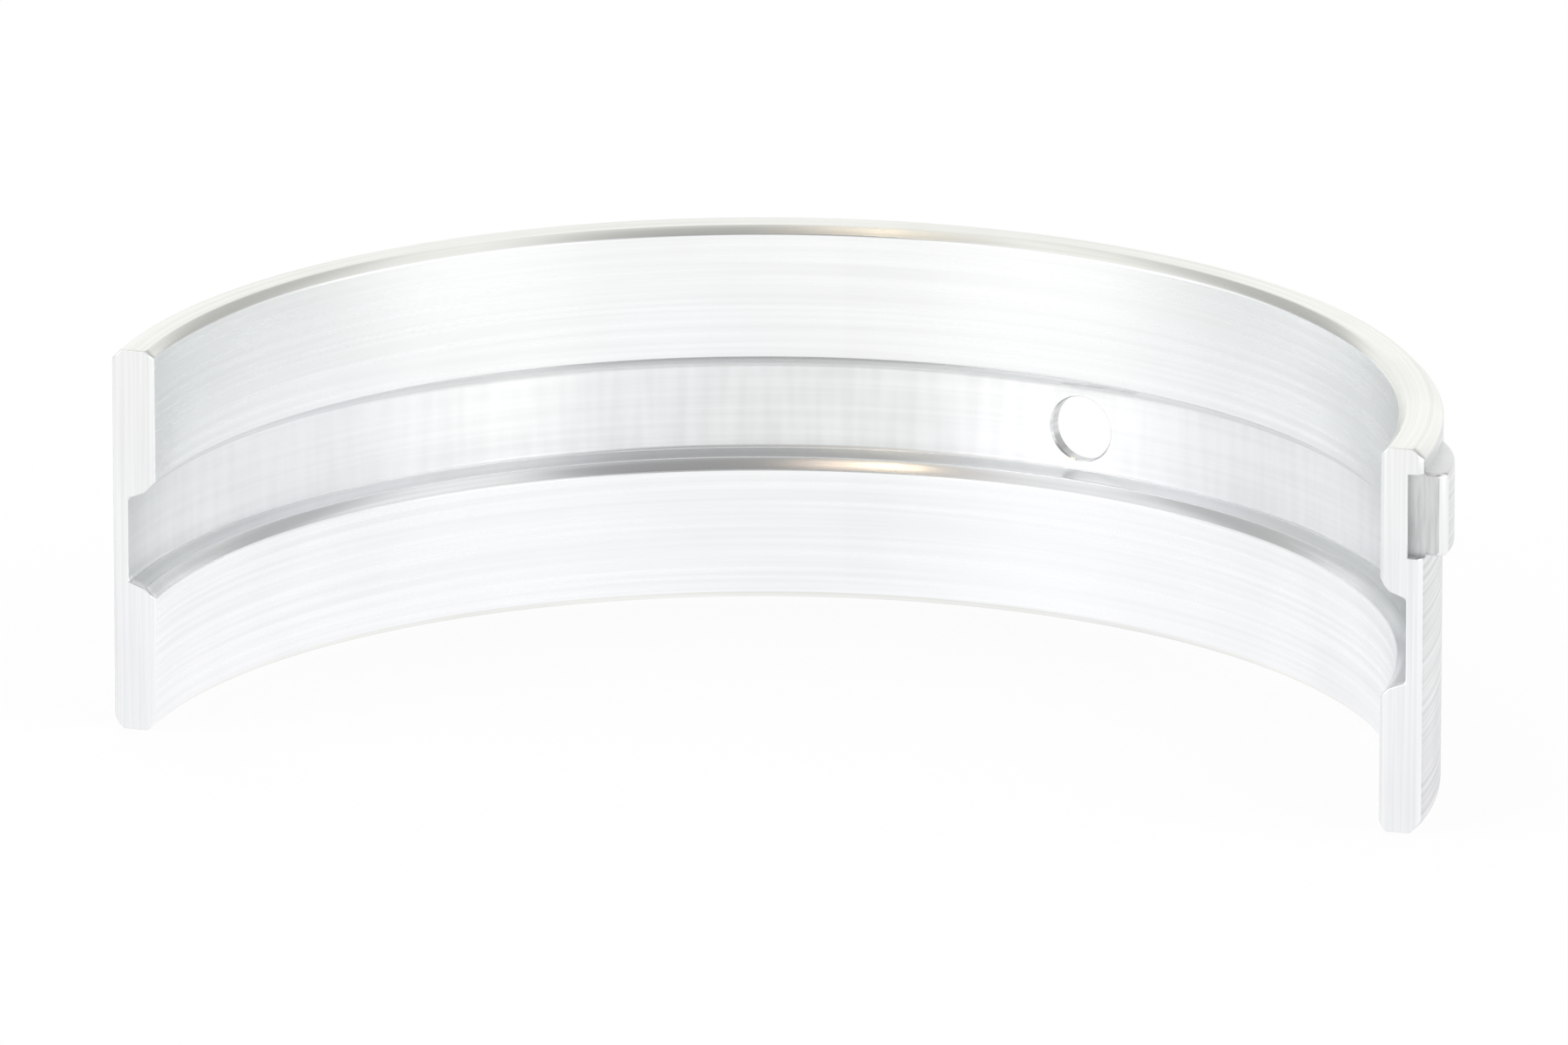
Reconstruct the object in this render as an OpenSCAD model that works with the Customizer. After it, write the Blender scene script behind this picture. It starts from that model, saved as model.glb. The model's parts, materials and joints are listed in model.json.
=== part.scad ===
// Engine bearing shell: one half of a plain split bearing for a crankshaft journal.
// It is a single thin-walled half ring with an oil groove round the whole bore, an oil
// feed hole through the groove's floor and a locating tang pressed out at one joint face.
// The bearing axis is Z, the joint plane is Y = 0, and the bore is open towards -Y.
// Sizes are in millimetres. The shell stands on its lower end face.

/* [Shell] */
// Diameter of the back, which seats in the housing bore
back_d = 60; // [44:0.5:90]
// Wall thickness from the back to the bore
wall = 2; // [1.6:0.05:3.5]
// Width along the bearing axis, from end face to end face
shell_w = 17.6; // [16:0.1:32]
// Edge break between the back and each end face
back_chamfer = 0.5; // [0.1:0.05:0.7]
// Edge break between the bore and each end face
bore_chamfer = 0.4; // [0.1:0.05:0.7]
// Edge break along both long edges of each joint face
joint_chamfer = 0.25; // [0.1:0.05:0.4]

/* [Bore relief] */
// How much the wall is thinned where the bore meets a joint face
relief_depth = 0.03; // [0.01:0.01:0.1]
// How far the relief runs round the bore from a joint face
relief_run = 6; // [3:0.5:9]

/* [Oil groove] */
// Width of the groove's mouth in the bore
groove_w = 5.4; // [4:0.1:7]
// Depth of the groove's floor below the bore
groove_depth = 1.25; // [0.6:0.05:1.4]
// Edge break along both edges of the groove's mouth
groove_break = 0.5; // [0.1:0.05:0.5]
// Lean of each groove flank from square to the floor, in degrees
groove_lean = 20; // [10:1:40]

/* [Oil hole] */
// Diameter of the oil feed hole
hole_d = 3; // [2:0.1:5]
// Place of the hole round the shell from the joint face with the tang, in degrees
hole_angle = 76; // [30:1:150]
// Edge break round the hole's mouth on the back
hole_chamfer = 0.2; // [0.1:0.05:0.3]

/* [Locating tang] */
// Width of the tang along the bearing axis
tang_w = 3.8; // [2.5:0.1:5]
// Distance from the upper end face to the tang's nearer side
tang_edge = 1.2; // [0.8:0.1:2.5]
// Height of the tang above the back
tang_h = 0.9; // [0.5:0.05:1.5]
// Length of the tang round the back, from the joint face to the end of its ramp
tang_run = 6; // [4:0.25:8]
// How far the tang's front face lies behind the joint face
tang_setback = 0.5; // [0.2:0.05:0.8]
// How deep the pressed recess reaches into the joint face from the back
tang_bite = 0.7; // [0.3:0.05:0.7]
// Radius of the rounded nose along the tang's outer front edge
tang_nose = 0.5; // [0.1:0.05:0.8]

/* [Hidden] */
$fn = 240;
// Overlap that lets a cutter run clear of the face it starts from
clear = 1;

back_r = back_d / 2;
bore_r = back_r - wall;
half_w = shell_w / 2;
groove_r = bore_r + groove_depth;
groove_flank_h = groove_depth - groove_break;
groove_floor_w = groove_w - 2 * (groove_break + groove_flank_h * tan(groove_lean));

// The relief is a cylinder, set off towards a joint face, that meets the bore at relief_angle
relief_angle = relief_run / bore_r * 180 / PI;
relief_tip = bore_r + relief_depth;
relief_shift = (pow(relief_tip, 2) - pow(bore_r, 2)) / (2 * (relief_tip - bore_r * cos(relief_angle)));
relief_r = relief_tip - relief_shift;

// The tang's ramp is an arc from the top of the nose down to the back at tang_angle
tang_top = half_w - tang_edge;
tang_base = tang_top - tang_w;
tang_step = back_r - tang_bite;
tang_tip = back_r + tang_h;
tang_nose_y = tang_setback + tang_nose;
tang_angle = tang_run / back_r * 180 / PI;
ramp_end = [back_r * cos(tang_angle), back_r * sin(tang_angle)];
ramp_drop = tang_tip - ramp_end.x;
ramp_r = (pow(ramp_drop, 2) + pow(ramp_end.y - tang_nose_y, 2)) / (2 * ramp_drop);

// Half of the wall's cross-section is metal on each side of the groove, all in one outline
module wall_section() {
    polygon([
        [bore_r + bore_chamfer, -half_w],
        [back_r - back_chamfer, -half_w],
        [back_r, -half_w + back_chamfer],
        [back_r, half_w - back_chamfer],
        [back_r - back_chamfer, half_w],
        [bore_r + bore_chamfer, half_w],
        [bore_r, half_w - bore_chamfer],
        [bore_r, groove_w / 2],
        [bore_r + groove_break, groove_w / 2 - groove_break],
        [groove_r, groove_floor_w / 2],
        [groove_r, -groove_floor_w / 2],
        [bore_r + groove_break, groove_break - groove_w / 2],
        [bore_r, -groove_w / 2],
        [bore_r, -half_w + bore_chamfer]
    ]);
}

// Wedge that breaks a straight edge parallel to the axis, centred on that edge
module edge_break(x) {
    translate([x, 0, -half_w - clear])
        rotate(45)
            translate([-joint_chamfer, -joint_chamfer] / sqrt(2))
                cube([joint_chamfer * sqrt(2), joint_chamfer * sqrt(2), shell_w + 2 * clear]);
}

// The four long edges of the joint faces
module joint_edges() {
    for (side = [-1, 1]) {
        edge_break(side * bore_r);
        edge_break(side * back_r);
    }
}

// Shallow cuts that open the bore a little towards both joint faces
module bore_relief() {
    for (side = [-1, 1])
        translate([side * relief_shift, 0, -half_w - clear])
            cylinder(r = relief_r, h = shell_w + 2 * clear);
}

// Radial feed hole with a light countersink on the back
module oil_hole() {
    rotate(hole_angle)
        rotate([0, 90, 0]) {
            translate([0, 0, bore_r - clear])
                cylinder(d = hole_d, h = wall + 2 * clear);
            translate([0, 0, back_r - hole_chamfer])
                cylinder(d1 = hole_d, d2 = hole_d + 2 * (hole_chamfer + clear), h = hole_chamfer + clear);
        }
}

// Side view of the tang along the axis: front block, rounded nose and ramp
module tang_profile() {
    translate([tang_step, tang_setback])
        square([tang_tip - tang_nose - tang_step, tang_nose]);
    translate([tang_tip - tang_nose, tang_nose_y])
        circle(tang_nose);
    intersection() {
        translate([tang_tip - ramp_r, tang_nose_y])
            circle(ramp_r);
        translate([tang_step, tang_nose_y])
            square([tang_tip - tang_step, ramp_r]);
    }
}

module tang() {
    translate([0, 0, tang_base])
        linear_extrude(tang_w)
            tang_profile();
}

// Pocket that the press tool leaves in the joint face in front of the tang
module tang_recess() {
    translate([tang_step, -clear, tang_base])
        cube([tang_bite + clear, clear + tang_setback, tang_w]);
}

module bearing_shell() {
    color("silver")
        difference() {
            union() {
                difference() {
                    rotate_extrude(angle = 180)
                        wall_section();
                    tang_recess();
                }
                tang();
            }
            joint_edges();
            bore_relief();
            oil_hole();
        }
}

bearing_shell();
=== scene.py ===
# %% [markdown]
# # Dressing an engine bearing shell
# The part is one half of a plain split bearing, the thin metal shell that a crankshaft journal
# runs in. Its solid model is loaded first as a fixed frame, in metres, and everything in this
# lesson is built around it: nothing here moves or resizes the frame.

# %% Load the frame
import json
import math

import bmesh
import bpy
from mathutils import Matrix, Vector


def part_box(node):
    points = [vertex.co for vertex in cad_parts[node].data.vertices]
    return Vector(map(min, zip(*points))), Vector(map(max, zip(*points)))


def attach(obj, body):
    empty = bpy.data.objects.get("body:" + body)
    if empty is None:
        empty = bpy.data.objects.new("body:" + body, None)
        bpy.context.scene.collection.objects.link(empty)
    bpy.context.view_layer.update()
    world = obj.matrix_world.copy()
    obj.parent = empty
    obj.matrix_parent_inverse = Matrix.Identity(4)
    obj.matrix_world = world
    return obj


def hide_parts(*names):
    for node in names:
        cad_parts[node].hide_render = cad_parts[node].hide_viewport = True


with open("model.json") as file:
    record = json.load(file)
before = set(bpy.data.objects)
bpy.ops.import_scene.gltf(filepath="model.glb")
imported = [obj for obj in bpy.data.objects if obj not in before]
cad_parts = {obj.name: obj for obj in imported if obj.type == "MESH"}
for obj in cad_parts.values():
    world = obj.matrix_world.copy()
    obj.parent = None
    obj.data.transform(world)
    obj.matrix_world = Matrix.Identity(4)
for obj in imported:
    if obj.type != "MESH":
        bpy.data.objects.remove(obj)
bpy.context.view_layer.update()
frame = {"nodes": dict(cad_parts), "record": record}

MM = 0.001
shell_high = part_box("bearing_shell")[1]
mounts = {mount["name"]: mount for mount in frame["record"]["mounts"]}
print("frame nodes:", sorted(frame["nodes"]))

# %% [markdown]
# ## Sizes
# A bearing shell is described by a handful of sizes. The radii and the width come from the
# frame, and the end chamfers follow from the lengths in its record. The smaller sizes are
# written here once, as a maker would list them on a drawing.

# %% Sizes of the wall and the groove
journal = mounts["journal_bore"]["dims"]
seat = mounts["housing_seat"]["dims"]
bore_r = journal["r_mm"] * MM
back_r = seat["r_mm"] * MM
half_w = shell_high.z
bore_chamfer = half_w - journal["length_mm"] * MM / 2
back_chamfer = half_w - seat["length_mm"] * MM / 2
joint_chamfer = 0.25 * MM
relief_depth = 0.03 * MM
relief_run = 6 * MM
groove_half_w = 2.7 * MM
groove_depth = 1.25 * MM
groove_break = 0.5 * MM
groove_lean = math.radians(20)
groove_r = bore_r + groove_depth
flank_lean_w = (groove_depth - groove_break) * math.tan(groove_lean)
floor_half_w = groove_half_w - groove_break - flank_lean_w
print(f"bore {bore_r / MM:.2f}, back {back_r / MM:.2f}, half width {half_w / MM:.2f} mm")

# %% Sizes of the oil hole and the tang
hole = mounts["oil_feed_hole"]
hole_r = hole["dims"]["r_mm"] * MM
hole_direction = Vector(hole["axis"]).normalized()
hole_chamfer = 0.2 * MM
tang_edge = 1.2 * MM
tang_w = 3.8 * MM
tang_bite = 0.7 * MM
tang_run = 6 * MM
tang_setback = 0.5 * MM
tang_nose = 0.5 * MM
tang_top = half_w - tang_edge
tang_base = tang_top - tang_w
tang_tip = shell_high.x
tang_step = back_r - tang_bite
print(f"hole radius {hole_r / MM:.2f} mm, tang {(tang_tip - back_r) / MM:.2f} mm proud of the back")

# %% [markdown]
# ## Camera
# The picture to match was taken from a little above the shell and a little to its right, with
# a long lens: near and far edges hardly differ in scale. A camera can be placed by eye, or its
# place can be worked out from the solid's edges and where they lie in the picture. The second
# way was used here, and its result is written as an angle round the shell, an angle above the
# floor, a distance and an aim point, because those four say how the shell is seen.

# %% Camera at the picture's view
view_azimuth = math.radians(15.5)
view_elevation = math.radians(16.5)
view_distance = 1.02
view_aim = Vector((-3.15, 15.0, -1.41)) * MM
film_width_mm = 36
lens_length_mm = 523


def outwards(azimuth, elevation):
    """The direction from the shell at an angle round it, from the front, and one above the floor."""
    return Vector((
        math.sin(azimuth) * math.cos(elevation),
        -math.cos(azimuth) * math.cos(elevation),
        math.sin(elevation),
    ))


towards_camera = outwards(view_azimuth, view_elevation)
camera_data = bpy.data.cameras.new("camera")
camera_data.sensor_width = film_width_mm
camera_data.lens = lens_length_mm
camera = bpy.data.objects.new("camera", camera_data)
camera.location = view_aim + towards_camera * view_distance
camera.rotation_euler = towards_camera.to_track_quat("Z", "Y").to_euler()
scene = bpy.context.scene
scene.collection.objects.link(camera)
scene.camera = camera
scene.view_settings.view_transform = "Standard"
print("camera at", [round(place, 3) for place in camera.location])

# %% [markdown]
# ## Helpers for node trees
# Both the shape and the finishes below are node trees written in code. One short helper adds a
# node, sets its settings and fills its inputs: an input takes either a plain value or the
# output of another node, and is named by its label or its number. Four more write the
# commonest nodes in one line: a sum, a vector, a change of range and a mix of two colours. A
# Mix node has inputs for several kinds of data under the same labels, so its colours are
# named by their numbers.

# %% Node helpers
node_gap = 180
first_colour = 6
second_colour = 7
result_colour = 2


def add_node(tree, kind, inputs=None, **settings):
    """Adds a node to a tree, sets its settings, and fills or links its inputs."""
    made = tree.nodes.new(kind)
    made.location = (node_gap * len(tree.nodes), 0)
    for name, value in settings.items():
        setattr(made, name, value)
    for name, value in (inputs or {}).items():
        socket = made.inputs[name]
        if isinstance(value, bpy.types.NodeSocket):
            tree.links.new(value, socket)
        else:
            socket.default_value = value
    return made


def calc(tree, operation, first, second=0.0):
    """One sum in a node tree, and its result."""
    return add_node(tree, "ShaderNodeMath", {0: first, 1: second}, operation=operation).outputs[0]


def xyz(tree, x=0.0, y=0.0, z=0.0):
    """Three values joined into one vector in a node tree."""
    return add_node(tree, "ShaderNodeCombineXYZ", {0: x, 1: y, 2: z}).outputs[0]


def mapped(tree, value, low, high, to_low=0.0, to_high=1.0, smooth=False):
    """A value taken from one range to another in a node tree, evenly or as a smooth step."""
    return add_node(tree, "ShaderNodeMapRange", {
        "Value": value, "From Min": low, "From Max": high, "To Min": to_low, "To Max": to_high,
    }, interpolation_type="SMOOTHSTEP" if smooth else "LINEAR").outputs[0]


def mixed_colour(tree, factor, first, second, blend="MIX"):
    """Two colours mixed in a node tree."""
    mix = add_node(tree, "ShaderNodeMix", {"Factor": factor, first_colour: first, second_colour: second},
                   data_type="RGBA", blend_type=blend)
    return mix.outputs[result_colour]


# %% [markdown]
# ## The wall of the shell
# The real shell is made from a flat strip: its section is cut first, and the strip is then
# pressed into a half ring. Geometry Nodes can follow the same order. The section is an outline
# with fourteen corners: a circle lends its closed curve, and an index switch gives each of its
# points a place. The outline is swept along a straight line whose length is half a turn, and
# each point of the strip is then wrapped round the bearing axis. A spin in mesh code would give
# the same ring, but the node tree keeps every size as a named input.
#
# Close to the joint faces a real bore is opened by a few hundredths of a millimetre, so that
# the joint edges can't scrape oil off the journal. That relief is a second circle set off from
# the axis, and a point of the bore goes out to whichever circle is larger.

# %% Node tree for the section
def section_curve(tree, given):
    """The wall's outline, with radius as X and height as Y, from the tree's inputs."""
    upper = [
        (given["Back radius"], calc(tree, "SUBTRACT", given["Half width"], given["Back chamfer"])),
        (calc(tree, "SUBTRACT", given["Back radius"], given["Back chamfer"]), given["Half width"]),
        (calc(tree, "ADD", given["Bore radius"], given["Bore chamfer"]), given["Half width"]),
        (given["Bore radius"], calc(tree, "SUBTRACT", given["Half width"], given["Bore chamfer"])),
        (given["Bore radius"], given["Groove half width"]),
        (calc(tree, "ADD", given["Bore radius"], given["Groove break"]),
         calc(tree, "SUBTRACT", given["Groove half width"], given["Groove break"])),
        (given["Groove radius"], given["Floor half width"]),
    ]
    lower = [(radius, calc(tree, "MULTIPLY", height, -1.0)) for radius, height in reversed(upper)]
    corners = upper + lower

    ring = add_node(tree, "GeometryNodeCurvePrimitiveCircle", {"Resolution": len(corners)})
    corner = add_node(tree, "GeometryNodeIndexSwitch", data_type="VECTOR")
    while len(corner.index_switch_items) < len(corners):
        corner.index_switch_items.new()
    tree.links.new(add_node(tree, "GeometryNodeInputIndex").outputs[0], corner.inputs[0])
    for number, (radius, height) in enumerate(corners, start=1):
        tree.links.new(xyz(tree, radius, height), corner.inputs[number])
    placed = add_node(tree, "GeometryNodeSetPosition",
                      {"Geometry": ring.outputs["Curve"], "Position": corner.outputs[0]})
    return placed.outputs[0]


# %% Node tree for the bend
def wrapped_position(tree, given):
    """Where a point of the straight strip lands once the strip is bent round the axis."""
    here = add_node(tree, "GeometryNodeInputPosition").outputs[0]
    flat = add_node(tree, "ShaderNodeSeparateXYZ", {0: here}).outputs
    cosine = calc(tree, "COSINE", flat["Y"])
    sine = calc(tree, "SINE", flat["Y"])
    along = calc(tree, "MULTIPLY", given["Relief shift"], calc(tree, "ABSOLUTE", cosine))
    across = calc(tree, "MULTIPLY", given["Relief shift"], sine)
    square = calc(tree, "SUBTRACT", calc(tree, "POWER", given["Relief radius"], 2.0),
                  calc(tree, "POWER", across, 2.0))
    relief = calc(tree, "ADD", along, calc(tree, "SQRT", square))
    radius = calc(tree, "MAXIMUM", flat["X"], relief)
    sideways = calc(tree, "MULTIPLY", radius, cosine)
    crownwards = calc(tree, "MULTIPLY", radius, sine)
    return xyz(tree, sideways, crownwards, flat["Z"])


# %% Node tree for the whole wall
def wall_tree():
    """A half ring swept from its section: sizes in, mesh out."""
    tree = bpy.data.node_groups.new("shell_wall", "GeometryNodeTree")
    sizes = [
        "Bore radius", "Back radius", "Half width", "Bore chamfer", "Back chamfer", "Groove radius",
        "Groove half width", "Groove break", "Floor half width", "Relief shift", "Relief radius",
    ]
    for name in sizes:
        tree.interface.new_socket(name=name, in_out="INPUT", socket_type="NodeSocketFloat")
    tree.interface.new_socket(name="Stations", in_out="INPUT", socket_type="NodeSocketInt")
    tree.interface.new_socket(name="Material", in_out="INPUT", socket_type="NodeSocketMaterial")
    tree.interface.new_socket(name="Mesh", in_out="OUTPUT", socket_type="NodeSocketGeometry")
    given = add_node(tree, "NodeGroupInput").outputs

    half_turn = add_node(tree, "GeometryNodeCurvePrimitiveLine", {"End": (0.0, math.pi, 0.0)})
    stations = add_node(tree, "GeometryNodeResampleCurve",
                        {"Curve": half_turn.outputs[0], "Count": given["Stations"]})
    strip = add_node(tree, "GeometryNodeCurveToMesh", {
        "Curve": stations.outputs[0], "Profile Curve": section_curve(tree, given), "Fill Caps": True,
    })
    bent = add_node(tree, "GeometryNodeSetPosition",
                    {"Geometry": strip.outputs[0], "Position": wrapped_position(tree, given)})
    real = add_node(tree, "GeometryNodeRealizeInstances", {0: bent.outputs[0]})
    dressed = add_node(tree, "GeometryNodeSetMaterial",
                       {"Geometry": real.outputs[0], "Material": given["Material"]})
    add_node(tree, "NodeGroupOutput", {"Mesh": dressed.outputs[0]})
    return tree


# %% [markdown]
# A modifier's inputs are set by the identifiers of the tree's sockets, before the object is
# evaluated for the first time. The evaluated result is then turned into a plain mesh, so the
# rest of the lesson works on ordinary faces. One hundred and sixty steps keep the half ring
# within two thousandths of a millimetre of a true circle. The relief's circle follows from two
# facts: it lies a set depth outside the bore at the joint face, and meets the bore a set run
# away from there.

# %% Helpers for objects
def plain_mesh(thing, name):
    """The evaluated mesh of an object with its modifiers, as a new plain mesh."""
    graph = bpy.context.evaluated_depsgraph_get()
    mesh = bpy.data.meshes.new_from_object(thing.evaluated_get(graph), preserve_all_data_layers=True,
                                           depsgraph=graph)
    mesh.name = name
    return mesh


def add_object(name, mesh):
    """An object that holds a mesh, in the scene and at the origin."""
    thing = bpy.data.objects.new(name, mesh)
    scene.collection.objects.link(thing)
    return thing


# %% Make the wall
arc_steps = 160
relief_tip = bore_r + relief_depth
relief_gain = relief_tip - bore_r * math.cos(relief_run / bore_r)
relief_shift = (relief_tip ** 2 - bore_r ** 2) / (2 * relief_gain)
back_steel = bpy.data.materials.new("back_steel")
wall_sizes = {
    "Bore radius": bore_r, "Back radius": back_r, "Half width": half_w, "Bore chamfer": bore_chamfer,
    "Back chamfer": back_chamfer, "Groove radius": groove_r, "Groove half width": groove_half_w,
    "Groove break": groove_break, "Floor half width": floor_half_w, "Relief shift": relief_shift,
    "Relief radius": relief_tip - relief_shift, "Stations": arc_steps + 1, "Material": back_steel,
}

shell = add_object("half_shell", bpy.data.meshes.new("strip"))
sweep = shell.modifiers.new("wall", "NODES")
sweep.node_group = wall_tree()
for socket in sweep.node_group.interface.items_tree:
    if socket.in_out == "INPUT":
        sweep[socket.identifier] = wall_sizes[socket.name]
wall_mesh = plain_mesh(shell, "wall")
shell.modifiers.remove(sweep)
shell.data = wall_mesh
print("wall:", len(wall_mesh.vertices), "points,", len(wall_mesh.polygons), "faces")

# %% [markdown]
# ## Solid shapes for the tang and the cuts
# The rest of the shell's form is pressed or cut after the strip is bent, so it is done with
# solid shapes that are added to the wall or taken from it. Two helpers make them: an upright
# prism from an outline, and a turned shape from pairs of radius and distance along a line.
# Round stretches of an outline come from one short function for arcs.

# %% Helper for prisms
rim_steps = 6
round_profile = 0.5


def arc(centre, radius, start, end, steps):
    """Points along an arc in the XY plane, angles in radians."""
    angles = [start + (end - start) * step / steps for step in range(steps + 1)]
    return [(centre[0] + radius * math.cos(a), centre[1] + radius * math.sin(a)) for a in angles]


def keep_solid(name, form):
    """Turns a closed bmesh into an object, faces outwards."""
    bmesh.ops.recalc_face_normals(form, faces=form.faces)
    mesh = bpy.data.meshes.new(name)
    form.to_mesh(mesh)
    form.free()
    return add_object(name, mesh)


def prism(name, outline, low, high, soft=0.0):
    """A closed upright prism: an outline in X and Y, from one height to another, soft at its rims."""
    form = bmesh.new()
    base = form.faces.new([form.verts.new((x, y, low)) for x, y in outline])
    lifted = bmesh.ops.extrude_face_region(form, geom=[base])["geom"]
    tops = [item for item in lifted if isinstance(item, bmesh.types.BMVert)]
    bmesh.ops.translate(form, verts=tops, vec=(0, 0, high - low))
    if soft > 0:
        rims = [edge for edge in form.edges if edge.verts[0].co.z == edge.verts[1].co.z]
        bmesh.ops.bevel(form, geom=rims, offset=soft, segments=rim_steps, profile=round_profile,
                        affect="EDGES")
    return keep_solid(name, form)


# %% Helper for turned shapes
def turned(name, steps, direction, sides):
    """A closed turned shape on a line from the origin: pairs of radius and distance along it."""
    form = bmesh.new()
    up = Vector((0, 0, 1))
    across = direction.cross(up)
    turns = [2 * math.pi * side / sides for side in range(sides)]
    spokes = [across * math.cos(turn) + up * math.sin(turn) for turn in turns]
    rings = [[form.verts.new(direction * distance + spoke * radius) for spoke in spokes]
             for radius, distance in steps]
    for lower, upper in zip(rings, rings[1:]):
        for side in range(sides):
            form.faces.new((lower[side - 1], lower[side], upper[side], upper[side - 1]))
    form.faces.new(rings[0])
    form.faces.new(rings[-1])
    return keep_solid(name, form)


# %% [markdown]
# ## The tang and its pocket
# The locating tang is pressed out of the wall at one joint face and drops into a notch of the
# housing, so that the shell can't turn. Its front lies a little behind the joint face, its
# outer front edge is round, and its ramp is an arc that dies out in the back, with a radius
# that follows from its drop and its reach. The press tool leaves a pocket in the joint face in
# front of it. All of that shows in one side view, so an outline and a prism are enough.

# %% Make the tang and the pocket
clear = 1 * MM
root_wall = 0.6 * MM
tang_soft = 0.2 * MM
nose_steps = 12
ramp_steps = 40
nose_centre = (tang_tip - tang_nose, tang_setback + tang_nose)
ramp_tail = Vector((math.cos(tang_run / back_r), math.sin(tang_run / back_r))) * back_r
ramp_drop = tang_tip - ramp_tail.x
ramp_reach = ramp_tail.y - nose_centre[1]
ramp_r = (ramp_drop ** 2 + ramp_reach ** 2) / (2 * ramp_drop)
ramp_centre = (tang_tip - ramp_r, nose_centre[1])
ramp_turn = math.acos((tang_step - ramp_centre[0]) / ramp_r)

tang_root = bore_r + root_wall
tang_outline = [(tang_root, tang_setback)]
tang_outline += arc(nose_centre, tang_nose, -math.pi / 2, 0, nose_steps)
tang_outline += arc(ramp_centre, ramp_r, 0, ramp_turn, ramp_steps)[1:]
tang_outline += [(tang_root, tang_outline[-1][1])]
pocket_outline = [
    (tang_step, -clear),
    (tang_tip + clear, -clear),
    (tang_tip + clear, tang_setback),
    (tang_step, tang_setback),
]
tang = prism("tang", tang_outline, tang_base, tang_top, tang_soft)
pocket = prism("pocket", pocket_outline, tang_base, tang_top)
print(f"the tang's ramp has radius {ramp_r / MM:.2f} mm")

# %% [markdown]
# ## The oil hole and the joint edges
# The oil hole is drilled through the groove's floor, lightly countersunk on the back and only
# deburred on the inside. One turned shape with a flare at each end does all three. The long
# edges of both joint faces are broken by small bevels: each is cut by a square bar that stands
# on its corner.

# %% Make the drill and the bars
hole_burr = 0.05 * MM
flare = 0.15 * MM
hole_sides = 96
drill = turned("drill", [
    (hole_r + flare, groove_r + hole_burr - flare),
    (hole_r, groove_r + hole_burr),
    (hole_r, back_r - hole_chamfer),
    (hole_r + hole_chamfer + clear, back_r + clear),
], hole_direction, hole_sides)


def square_bar(name, x):
    """An upright bar that breaks one joint edge: a square standing on its corner."""
    outline = [(x + joint_chamfer, 0), (x, joint_chamfer), (x - joint_chamfer, 0), (x, -joint_chamfer)]
    return prism(name, outline, -half_w - clear, half_w + clear)


bars = [square_bar(f"bar_{number}", x) for number, x in enumerate((-back_r, -bore_r, bore_r, back_r))]
print("cutters:", [thing.name for thing in (pocket, drill, *bars)])

# %% [markdown]
# The shapes work on the wall in the order of the real steps: the pocket is pressed, the tang
# stands out, the hole is drilled, and the joint edges are broken last. The exact solver is
# slower than the others, but it copes with faces that lie in one plane, as the tang's front
# and the pocket's do.

# %% Work the wall
shapes = [pocket, tang, drill, *bars]
for thing in shapes:
    step = shell.modifiers.new(thing.name, "BOOLEAN")
    step.object = thing
    step.operation = "UNION" if thing == tang else "DIFFERENCE"
    step.solver = "EXACT"
worked_mesh = plain_mesh(shell, "worked")
shell.modifiers.clear()
shell.data = worked_mesh
for thing in shapes:
    bpy.data.objects.remove(thing)
print("worked:", len(worked_mesh.vertices), "points,", len(worked_mesh.polygons), "faces")

# %% [markdown]
# ## Soft edges
# No real edge is perfectly sharp: rolling, pressing and deburring leave some hundredths of a
# millimetre of roundness, and that is what catches the light. A bevel by weight gives each
# kind of edge its own size. The groove's floor corners follow the round tip of the cutter, so
# they are the softest. The hole has its own flares and the tang was rounded before it joined
# the wall, so their edges, and the inner corners, have no bevel.

# %% Rule for the edges
softest = 0.16 * MM
machined_share = 0.4
hair = 0.03 * MM
hole_zone = 2 * hole_chamfer
tang_zone = 2 * clear


def softness(edge):
    """How much of the softest rounding an edge gets, by where it lies."""
    place = (edge.verts[0].co + edge.verts[1].co) / 2
    radius = place.xy.length
    along_hole = place.dot(hole_direction)
    from_hole = (place - hole_direction * along_hole).length - hole_r
    if along_hole > 0 and from_hole < hole_zone:
        return 0.0
    if abs(radius - groove_r) < hair and abs(abs(place.z) - floor_half_w) < hair:
        return 1.0
    beside_tang = tang_base - hair < place.z < tang_top + hair and joint_chamfer + hair < place.y
    if not edge.is_convex or (beside_tang and place.x > tang_step - tang_zone and radius > tang_step):
        return 0.0
    return machined_share


# %% Weights of the edges
weld_distance = 0.002 * MM
sharp_angle = math.radians(18)
form = bmesh.new()
form.from_mesh(worked_mesh)
bmesh.ops.remove_doubles(form, verts=form.verts, dist=weld_distance)
for face in form.faces:
    face.smooth = True
weights = form.edges.layers.float.new("bevel_weight_edge")
sharp_edges = [edge for edge in form.edges if edge.calc_face_angle() > sharp_angle]
for edge in sharp_edges:
    edge[weights] = softness(edge)
    edge.smooth = edge[weights] > 0
form.to_mesh(worked_mesh)
form.free()
print(len(sharp_edges), "sharp edges")

# %% [markdown]
# Weighted normals follow the bevel. They let each wide face keep its own direction, so that
# the light bends only over the narrow rounded edges.

# %% Round the edges
rounding_steps = 3
rounding = shell.modifiers.new("edges", "BEVEL")
rounding.limit_method = "WEIGHT"
rounding.width = softest
rounding.segments = rounding_steps
rounding.use_clamp_overlap = False
flat_faces = shell.modifiers.new("faces", "WEIGHTED_NORMAL")
flat_faces.mode = "FACE_AREA"
flat_faces.keep_sharp = True
shell_mesh = plain_mesh(shell, "half_shell")
shell.modifiers.clear()
shell.data = shell_mesh
triangles = sum(len(face.vertices) - 2 for face in shell_mesh.polygons)
print("rounded:", len(shell_mesh.polygons), "faces,", triangles, "triangles")

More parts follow.
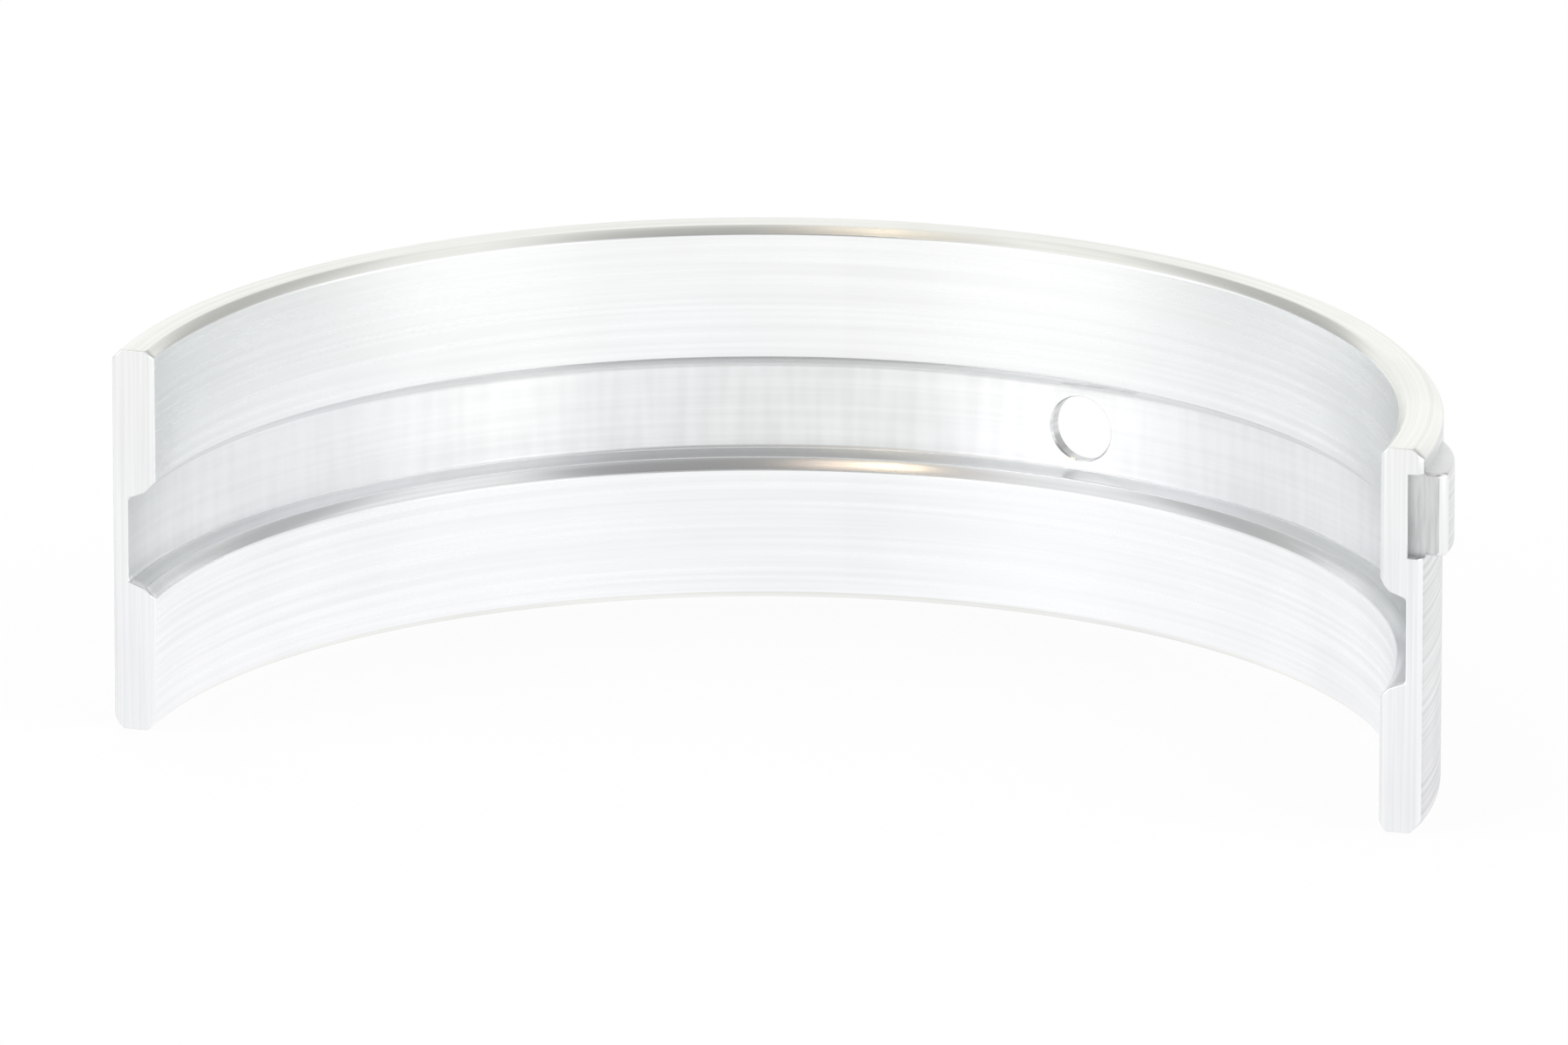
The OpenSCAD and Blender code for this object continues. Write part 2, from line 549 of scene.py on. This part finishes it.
# %% [markdown]
# ## Shared effects for the finishes
# Every face of the shell is bare metal, and what tells the faces apart is how each was cut.
# Four effects are shared by all finishes, so each is a node group that is built once. The
# first turns a point into the coordinates a machinist would use: its radius, its way round the
# shell and its height along the axis.

# %% Ring coordinates
def new_group(name, inputs, outputs):
    """An empty shader node group with named inputs and outputs."""
    tree = bpy.data.node_groups.new(name, "ShaderNodeTree")
    for label, kind in inputs:
        tree.interface.new_socket(name=label, in_out="INPUT", socket_type=f"NodeSocket{kind}")
    for label, kind in outputs:
        tree.interface.new_socket(name=label, in_out="OUTPUT", socket_type=f"NodeSocket{kind}")
    return tree, add_node(tree, "NodeGroupInput").outputs


def ring_coordinates_group():
    """Radius, way round and height of a point, all in metres."""
    tree, given = new_group("ring_coordinates", [("Point", "Vector")], [
        ("Radius", "Float"), ("Round", "Float"), ("Height", "Float"),
    ])
    point = add_node(tree, "ShaderNodeSeparateXYZ", {0: given["Point"]}).outputs
    flat = xyz(tree, point["X"], point["Y"])
    radius = add_node(tree, "ShaderNodeVectorMath", {0: flat}, operation="LENGTH").outputs["Value"]
    turn = calc(tree, "ARCTAN2", point["Y"], point["X"])
    add_node(tree, "NodeGroupOutput", {
        "Radius": radius, "Round": calc(tree, "MULTIPLY", turn, back_r), "Height": point["Z"],
    })
    return tree


ring_coordinates = ring_coordinates_group()
print("group:", ring_coordinates.name)

# %% [markdown]
# The second effect is the fine lines that a cutting edge leaves. They are a noise that is
# stretched along the cut, so its patches become long streaks. Their spacing across the cut and
# their length along it are inputs, because a boring bar, a milling cutter and a broach leave
# lines of different kinds. Most of a noise lies in the middle of its range, so that middle is
# spread over the whole way from 0 to 1.

# %% Tool lines
noise_low = 0.3
noise_high = 0.7


def tool_lines_group():
    """Streaks along a cut, from 0 to 1: fine across it, long along it."""
    tree, given = new_group("tool_lines", [
        ("Across", "Float"), ("Along", "Float"), ("Spacing", "Float"), ("Length", "Float"),
    ], [("Lines", "Float")])
    place = xyz(tree, calc(tree, "DIVIDE", given["Across"], given["Spacing"]),
                calc(tree, "DIVIDE", given["Along"], given["Length"]))
    streaks = add_node(tree, "ShaderNodeTexNoise", {
        "Vector": place, "Scale": 1.0, "Detail": 1.0, "Roughness": 0.5,
    }, noise_dimensions="2D")
    lines = mapped(tree, streaks.outputs[0], noise_low, noise_high)
    add_node(tree, "NodeGroupOutput", {"Lines": lines})
    return tree


tool_lines = tool_lines_group()
print("group:", tool_lines.name)

# %% [markdown]
# The third effect is haze: the soft clouds that wiping and handling leave even on a new part.
# It only shifts the gloss and the tone a little, in patches a few millimetres wide. A noise has
# patches about as wide as one unit of its input, so the point is divided by their size first.

# %% Handling haze
def scaled_point(tree, given):
    """The group's point divided by its size, so that a noise has patches of that size."""
    share = calc(tree, "DIVIDE", 1.0, given["Size"])
    return add_node(tree, "ShaderNodeVectorMath", {0: given["Point"], "Scale": share},
                    operation="SCALE").outputs[0]


def haze_group():
    """Soft clouds from 0 to 1 at a given size."""
    tree, given = new_group("handling_haze", [("Point", "Vector"), ("Size", "Float")],
                            [("Haze", "Float")])
    clouds = add_node(tree, "ShaderNodeTexNoise", {
        "Vector": scaled_point(tree, given), "Scale": 1.0, "Detail": 2.0, "Roughness": 0.55,
    })
    haze = mapped(tree, clouds.outputs[0], noise_low, noise_high, smooth=True)
    add_node(tree, "NodeGroupOutput", {"Haze": haze})
    return tree


handling_haze = haze_group()
print("group:", handling_haze.name)

# %% [markdown]
# The fourth effect is a painted tint that stands in for reflected light: a breath of green
# towards the top, as from a greenish light above, and of blue towards the foot, as from a
# bluish light below. The border between the two drifts a little. The group gives a colour
# close to white, and each finish multiplies its own tone by it.

# %% Painted light tint
# Painted reflected light: greenish at the top, bluish at the foot.
top_light_tint = (0.992, 1.0, 0.986, 1.0)
foot_light_tint = (0.988, 0.990, 1.0, 1.0)
top_tint_until = 0.6
foot_tint_from = 1.4


def painted_light_tint_group():
    """Painted light, near white: one tint at the top, another at the foot, drifting at a given size."""
    tree, given = new_group("painted_light_tint", [("Point", "Vector"), ("Size", "Float")], [("Tint", "Color")])
    drift = add_node(tree, "ShaderNodeTexNoise", {
        "Vector": scaled_point(tree, given), "Scale": 1.0, "Detail": 0.0,
    })
    height = add_node(tree, "ShaderNodeSeparateXYZ", {0: given["Point"]}).outputs["Z"]
    towards_foot = mapped(tree, height, half_w, -half_w)
    footward = calc(tree, "ADD", drift.outputs[0], towards_foot)
    foot_share = mapped(tree, footward, top_tint_until, foot_tint_from, smooth=True)
    tint = mixed_colour(tree, foot_share, top_light_tint, foot_light_tint)
    add_node(tree, "NodeGroupOutput", {"Tint": tint})
    return tree


painted_light_tint = painted_light_tint_group()
print("group:", painted_light_tint.name)

# %% [markdown]
# ## Finishes
# One function writes a machined metal from the shared effects. The tone and the gloss of each
# finish move between two values with the lines and the haze, and the lines also lift the
# surface by a thousandth of a millimetre or so. Metal cut in lines spreads its gloss across
# them, and the shader's anisotropy does that from a direction that runs round the axis, given
# a quarter of a turn.

# %% Lines of one or more cuts
def cut(across, along, spacing, length):
    """One set of tool lines: the ring coordinates across and along it, and its sizes in mm."""
    return {"across": across, "along": along, "spacing": spacing * MM, "length": length * MM}


def cut_lines(tree, point, cuts):
    """The tool lines of a surface, from 0 to 1. More than one cut count in equal shares."""
    ring = add_node(tree, "ShaderNodeGroup", {"Point": point}, node_tree=ring_coordinates).outputs
    total = 0.0
    for sizes in cuts:
        lines = add_node(tree, "ShaderNodeGroup", {
            "Across": ring[sizes["across"]], "Along": ring[sizes["along"]],
            "Spacing": sizes["spacing"], "Length": sizes["length"],
        }, node_tree=tool_lines).outputs["Lines"]
        total = calc(tree, "ADD", total, calc(tree, "MULTIPLY", lines, 1 / len(cuts)))
    return total


# %% Machined metal
haze_size = 6 * MM
tint_drift_size = 9 * MM
haze_share = 0.3
quarter_turn = 0.25


def machined_metal(material, dark, light, gloss, cuts, depth, spread=0.0):
    """Fills a material: two tones, the least and the most roughness, the cuts and their depth
    in mm, and how far the gloss spreads across them."""
    material.use_nodes = True
    tree = material.node_tree
    shader = tree.nodes["Principled BSDF"]
    shader.inputs["Metallic"].default_value = 1.0
    point = add_node(tree, "ShaderNodeTexCoord").outputs["Object"]
    height = cut_lines(tree, point, cuts)
    haze = add_node(tree, "ShaderNodeGroup", {"Point": point, "Size": haze_size}, node_tree=handling_haze)
    # A painted tint of reflected light, greenish above and bluish below.
    light_tint = add_node(tree, "ShaderNodeGroup", {"Point": point, "Size": tint_drift_size}, node_tree=painted_light_tint)
    mixed = calc(tree, "ADD", calc(tree, "MULTIPLY", height, 1 - haze_share),
                 calc(tree, "MULTIPLY", haze.outputs[0], haze_share))
    tone = mixed_colour(tree, mixed, dark, light)
    tinted = mixed_colour(tree, 1.0, tone, light_tint.outputs[0], blend="MULTIPLY")
    tree.links.new(tinted, shader.inputs["Base Color"])
    smoothest, roughest = gloss
    roughness = mapped(tree, mixed, 0.0, 1.0, to_low=roughest, to_high=smoothest)
    tree.links.new(roughness, shader.inputs["Roughness"])
    relief = add_node(tree, "ShaderNodeBump", {"Height": height, "Distance": depth * MM, "Strength": 1.0})
    tree.links.new(relief.outputs[0], shader.inputs["Normal"])
    if spread > 0:
        shader.inputs["Anisotropic"].default_value = spread
        shader.inputs["Anisotropic Rotation"].default_value = quarter_turn
        around = add_node(tree, "ShaderNodeVectorMath", {0: (0, 0, 1), 1: point},
                          operation="CROSS_PRODUCT")
        tree.links.new(around.outputs[0], shader.inputs["Tangent"])
    return material


# %% [markdown]
# Bare metal has hardly any colour of its own. Two short functions write its tones, a grey that
# is a touch cool and one with a breath of straw yellow, which is a painted reflection of warm
# light, so that a finish only states how light it is.

# %% Tones
coolness = 0.006
# A painted reflection of warm light, used for the end faces.
warm_reflection_green = 1.003
warm_reflection_blue = 0.965


def grey(level):
    """A metal's colour: a grey level, a touch cool."""
    return (level * (1 - coolness), level, level * (1 + coolness), 1.0)


def warm_reflection_tone(level):
    """A metal's colour with a breath of straw yellow, a painted reflection of warm light."""
    return (level, level * warm_reflection_green, level * warm_reflection_blue, 1.0)


# %% [markdown]
# ### Bore and groove
# The lining is bored last, with a fine feed, so its lines run round the shell. It is the palest
# metal of all. The groove is milled: its floor has lines both round the shell and across it,
# and spreads its gloss the most. Its flanks are wiped by the cutter's sides, so they are
# smoother. Their darker tone is partly their own and partly painted shade of the groove.

# %% Finishes of the bore and the groove
bore_lining = machined_metal(
    bpy.data.materials.new("bore_lining"), dark=grey(0.92), light=grey(0.995), gloss=(0.24, 0.34),
    cuts=[cut("Height", "Round", spacing=0.30, length=30)], depth=0.0005, spread=0.3)
groove_floor = machined_metal(
    bpy.data.materials.new("groove_floor"), dark=grey(0.90), light=grey(0.98), gloss=(0.34, 0.42),
    cuts=[cut("Height", "Round", spacing=0.25, length=20), cut("Round", "Height", spacing=0.6, length=6)],
    depth=0.0008, spread=0.8)
# The flanks' darker tones are partly painted shade of the groove.
groove_flank = machined_metal(
    bpy.data.materials.new("groove_flank"), dark=grey(0.80), light=grey(0.90), gloss=(0.18, 0.26),
    cuts=[cut("Height", "Round", spacing=0.20, length=25)], depth=0.0006)
print("finishes:", bore_lining.name, groove_floor.name, groove_flank.name)

# %% [markdown]
# ### End faces and joint faces
# The end faces are turned, so their lines run round the shell too. Their breath of straw
# yellow is a painted reflection of warm light. The joint faces are broached, and a broach
# leaves lines along the axis.

# %% Finishes of the end faces and the joint faces
# Painted reflection: the end faces' straw yellow stands in for warm light.
end_metal = machined_metal(
    bpy.data.materials.new("end_metal"), dark=warm_reflection_tone(0.84), light=warm_reflection_tone(0.94), gloss=(0.26, 0.36),
    cuts=[cut("Radius", "Round", spacing=0.15, length=25)], depth=0.0012, spread=0.5)
joint_metal = machined_metal(
    bpy.data.materials.new("joint_metal"), dark=grey(0.84), light=grey(0.94), gloss=(0.28, 0.40),
    cuts=[cut("Radius", "Height", spacing=0.15, length=10)], depth=0.0012)
print("finishes:", end_metal.name, joint_metal.name)

# %% [markdown]
# ### Pocket and back
# The pocket and the tang's front are pressed and never cut, so they are the roughest. Their
# darkest tone is partly that of pressed metal and partly painted shade, as both lie back from
# the joint face. The back keeps the long brushed lines of the steel strip.

# %% Finishes of the pocket and the back
# The darkest finish, partly painted shade of the pocket and the tang's front.
pressed_and_shaded_metal = machined_metal(
    bpy.data.materials.new("pressed_and_shaded_metal"), dark=grey(0.58), light=grey(0.72), gloss=(0.34, 0.48),
    cuts=[cut("Radius", "Height", spacing=0.20, length=2)], depth=0.0020)
machined_metal(
    back_steel, dark=grey(0.68), light=grey(0.84), gloss=(0.28, 0.40),
    cuts=[cut("Height", "Round", spacing=0.25, length=40)], depth=0.0012, spread=0.7)
print("finishes:", pressed_and_shaded_metal.name, back_steel.name)

# %% [markdown]
# ## Which face gets which finish
# A face's place and direction say how it was cut: faces that look at the axis are bored, the
# groove's floor and flanks are milled, faces that look along the axis are turned, and the
# joint faces are broached. The pocket and the tang's front are pressed, and their dark finish
# is partly painted shade. The tang's nose takes the bright finish of the joint faces, a
# painted highlight. Everything else is the back of the strip. The limits below are shares of a
# face's direction: at 1 it looks straight that way, and at 0 square to it.

# %% Rule for the finishes
looks_along_axis = 0.65
looks_out_of_joint = 0.6
looks_at_axis = 0.8
looks_inwards = 0.5
looks_outwards = 0.5


def finish_of(face):
    """The finish of a face, from where it is and where it looks."""
    place = face.center
    radius = place.xy.length
    away = face.normal.xy.dot(place.xy) / radius
    in_tang = tang_base < place.z < tang_top
    # Painted shade: the pocket and the tang's front get the darkest finish.
    if place.x > tang_step and in_tang and hair < place.y < tang_setback + hair:
        return pressed_and_shaded_metal
    # Painted highlight: the tang's nose gets the bright joint finish.
    on_nose = place.x > back_r and place.y < tang_setback + tang_nose
    if on_nose and abs(face.normal.z) < looks_along_axis:
        return joint_metal
    if face.normal.y < -looks_out_of_joint and place.y < tang_setback:
        return joint_metal
    if abs(face.normal.z) > looks_along_axis and abs(place.z) > half_w - back_chamfer - hair:
        return end_metal
    in_groove = abs(place.z) < groove_half_w and radius < groove_r + 2 * hair
    if in_groove and away < looks_outwards:
        return groove_floor if away < -looks_at_axis else groove_flank
    return bore_lining if away < -looks_inwards else back_steel


# %% Give the faces their finishes
finishes = [back_steel, bore_lining, groove_floor, groove_flank, end_metal, joint_metal, pressed_and_shaded_metal]
shell_mesh.materials.clear()
for finish in finishes:
    shell_mesh.materials.append(finish)
for face in shell_mesh.polygons:
    face.material_index = finishes.index(finish_of(face))
for finish in finishes:
    faces = [face for face in shell_mesh.polygons if face.material_index == finishes.index(finish)]
    print(finish.name, len(faces), "faces,", round(sum(face.area for face in faces) / MM ** 2), "mm2")

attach(shell, "root")
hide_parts("bearing_shell")

# %% [markdown]
# ## Tent
# Bright metal shows what stands around it, so a studio puts it in a white tent. A tent with no
# gaps would make the metal look like white plastic, so this one has three dimmer openings with
# soft edges: a wide one in front, above the lens, and two narrow ones behind. Their mirror
# images are the grey bands on the metal. Is Camera Ray keeps the background itself white.

# %% Put up the tent
tent = bpy.data.worlds.new("tent")
scene.world = tent
tent.use_nodes = True
tent_tree = tent.node_tree
tent_direction = add_node(tent_tree, "ShaderNodeTexCoord").outputs["Generated"]


def facing(target):
    """How far a direction agrees with a target direction, from -1 to 1."""
    return add_node(tent_tree, "ShaderNodeVectorMath", {0: tent_direction, 1: target},
                    operation="DOT_PRODUCT").outputs["Value"]


print("world:", tent.name)

# %% Gaps of the tent
gap_edge = math.radians(5)
front_gap = {"turn": 0, "half_width": 25, "foot": 26, "top": 84, "dimming": 0.66}
rear_gap = {"half_width": 15, "foot": 0, "top": 55, "dimming": 0.55}
gaps = [front_gap, {"turn": 125, **rear_gap}, {"turn": -125, **rear_gap}]


def dimmed(turn, half_width, foot, top, dimming):
    """What one gap takes from the panels, placed by degrees beside the camera and above the floor."""
    azimuth = view_azimuth + math.radians(turn)
    side, low, high = (math.radians(angle) for angle in (half_width, foot, top))
    ahead = facing((math.sin(azimuth), -math.cos(azimuth), 0))
    aside = calc(tent_tree, "ABSOLUTE", facing((math.cos(azimuth), math.sin(azimuth), 0)))
    raised = facing((0, 0, 1))
    beside = mapped(tent_tree, aside, math.sin(side - gap_edge), math.sin(side + gap_edge), smooth=True)
    below = mapped(tent_tree, ahead, math.cos(high + gap_edge), math.cos(high - gap_edge), smooth=True)
    above = mapped(tent_tree, raised, math.sin(low - gap_edge), math.sin(low + gap_edge), smooth=True)
    upright = calc(tent_tree, "MULTIPLY", above, below)
    opening = calc(tent_tree, "MULTIPLY", calc(tent_tree, "SUBTRACT", 1.0, beside), upright)
    return calc(tent_tree, "MULTIPLY", opening, dimming)


panels = 1.0
for gap in gaps:
    panels = calc(tent_tree, "SUBTRACT", panels, dimmed(**gap))
camera_ray = add_node(tent_tree, "ShaderNodeLightPath").outputs["Is Camera Ray"]
background = calc(tent_tree, "MAXIMUM", panels, camera_ray)
tent_tree.links.new(background, tent_tree.nodes["Background"].inputs["Color"])
print("gaps in the tent:", len(gaps))

# %% [markdown]
# ## Floor
# The shell stands on white paper that melts into the white background. The paper could be made
# white with more light, but that would burn out the metal too. So a glow lifts it to white, and
# only in rays from the camera and in rays that the metal mirrors. Near the shell the lift is
# partial, and the soft shadow shows through. The glow makes up what the paper's own level
# lacks, so that no edge shows where the partial lift ends.

# %% White paper
paper_tone = 0.9
paper_level = 0.74
shadow_centre = (0.0, back_r / 2, -half_w)
shadow_near = 1.3 * back_r
shadow_far = 2.0 * back_r
shadow_lift = 0.80


def white_paper():
    """Matt paper with a glow that lifts it to white, less so near the shell."""
    paper = bpy.data.materials.new("white_paper")
    paper.use_nodes = True
    tree = paper.node_tree
    shader = tree.nodes["Principled BSDF"]
    shader.inputs["Base Color"].default_value = (paper_tone, paper_tone, paper_tone, 1)
    shader.inputs["Roughness"].default_value = 0.9
    shader.inputs["Specular IOR Level"].default_value = 0.0
    path = add_node(tree, "ShaderNodeLightPath").outputs
    place = add_node(tree, "ShaderNodeTexCoord").outputs["Object"]
    away = add_node(tree, "ShaderNodeVectorMath", {0: place, 1: shadow_centre},
                    operation="DISTANCE").outputs["Value"]
    near_lift = mapped(tree, away, shadow_near, shadow_far, to_low=shadow_lift, smooth=True)
    mirrored = calc(tree, "MAXIMUM", path["Is Glossy Ray"], path["Is Transmission Ray"])
    lift = calc(tree, "MAXIMUM", near_lift, mirrored)
    seen = calc(tree, "MULTIPLY", calc(tree, "MAXIMUM", path["Is Camera Ray"], mirrored), lift)
    bare = calc(tree, "MULTIPLY", calc(tree, "SUBTRACT", 1.0, lift), paper_level)
    strength = calc(tree, "DIVIDE", calc(tree, "SUBTRACT", 1.0, bare), lift)
    glow = add_node(tree, "ShaderNodeEmission", {"Color": (1, 1, 1, 1), "Strength": strength})
    lifted = add_node(tree, "ShaderNodeMixShader", {0: seen, 1: shader.outputs[0], 2: glow.outputs[0]})
    tree.links.new(lifted.outputs[0], tree.nodes["Material Output"].inputs["Surface"])
    return paper


# %% Lay the floor
floor_half = 1.5
corner_signs = [(-1, -1), (1, -1), (1, 1), (-1, 1)]
floor_corners = [(x * floor_half, y * floor_half, -half_w) for x, y in corner_signs]
floor_mesh = bpy.data.meshes.new("floor")
floor_mesh.from_pydata(floor_corners, [], [(0, 1, 2, 3)])
floor_mesh.materials.append(white_paper())
floor = add_object("floor", floor_mesh)
print("floor:", floor.name, "of", floor_mesh.materials[0].name)

# %% [markdown]
# ## Lamps
# The tent gives an even light. Two wide strips on both sides brighten the groove's floor, and
# they stand low, because the end faces would mirror a high lamp and clip to white. Two small
# warm lamps overhead leave the glint on the groove's lower edge and on the rim. All four are
# area lamps, because a bare point of light would leave hard dots on the metal.

# %% Set up the lamps
lamp_distance = 0.8
white_light = (1.0, 1.0, 1.0)
amber_light = (1.0, 0.80, 0.55)
peach_light = (1.0, 0.78, 0.62)


def soft_lamp(name, turn, rise, size, power, colour):
    """A flat lamp that looks at the shell, set by degrees beside the camera and above the floor."""
    direction = outwards(view_azimuth + math.radians(turn), math.radians(rise))
    data = bpy.data.lights.new(name, "AREA")
    data.shape = "RECTANGLE"
    data.size, data.size_y = size
    data.energy = power
    data.color = colour
    lamp = bpy.data.objects.new(name, data)
    lamp.location = direction * lamp_distance
    lamp.rotation_euler = direction.to_track_quat("Z", "Y").to_euler()
    scene.collection.objects.link(lamp)
    return lamp


soft_lamp("left_strip", turn=-60, rise=6, size=(0.70, 0.15), power=0.70, colour=white_light)
soft_lamp("right_strip", turn=60, rise=6, size=(0.70, 0.15), power=0.70, colour=white_light)
soft_lamp("warm_lamp", turn=-47, rise=70, size=(0.05, 0.05), power=0.10, colour=amber_light)
soft_lamp("warm_glow", turn=-29, rise=72, size=(0.10, 0.10), power=0.05, colour=peach_light)
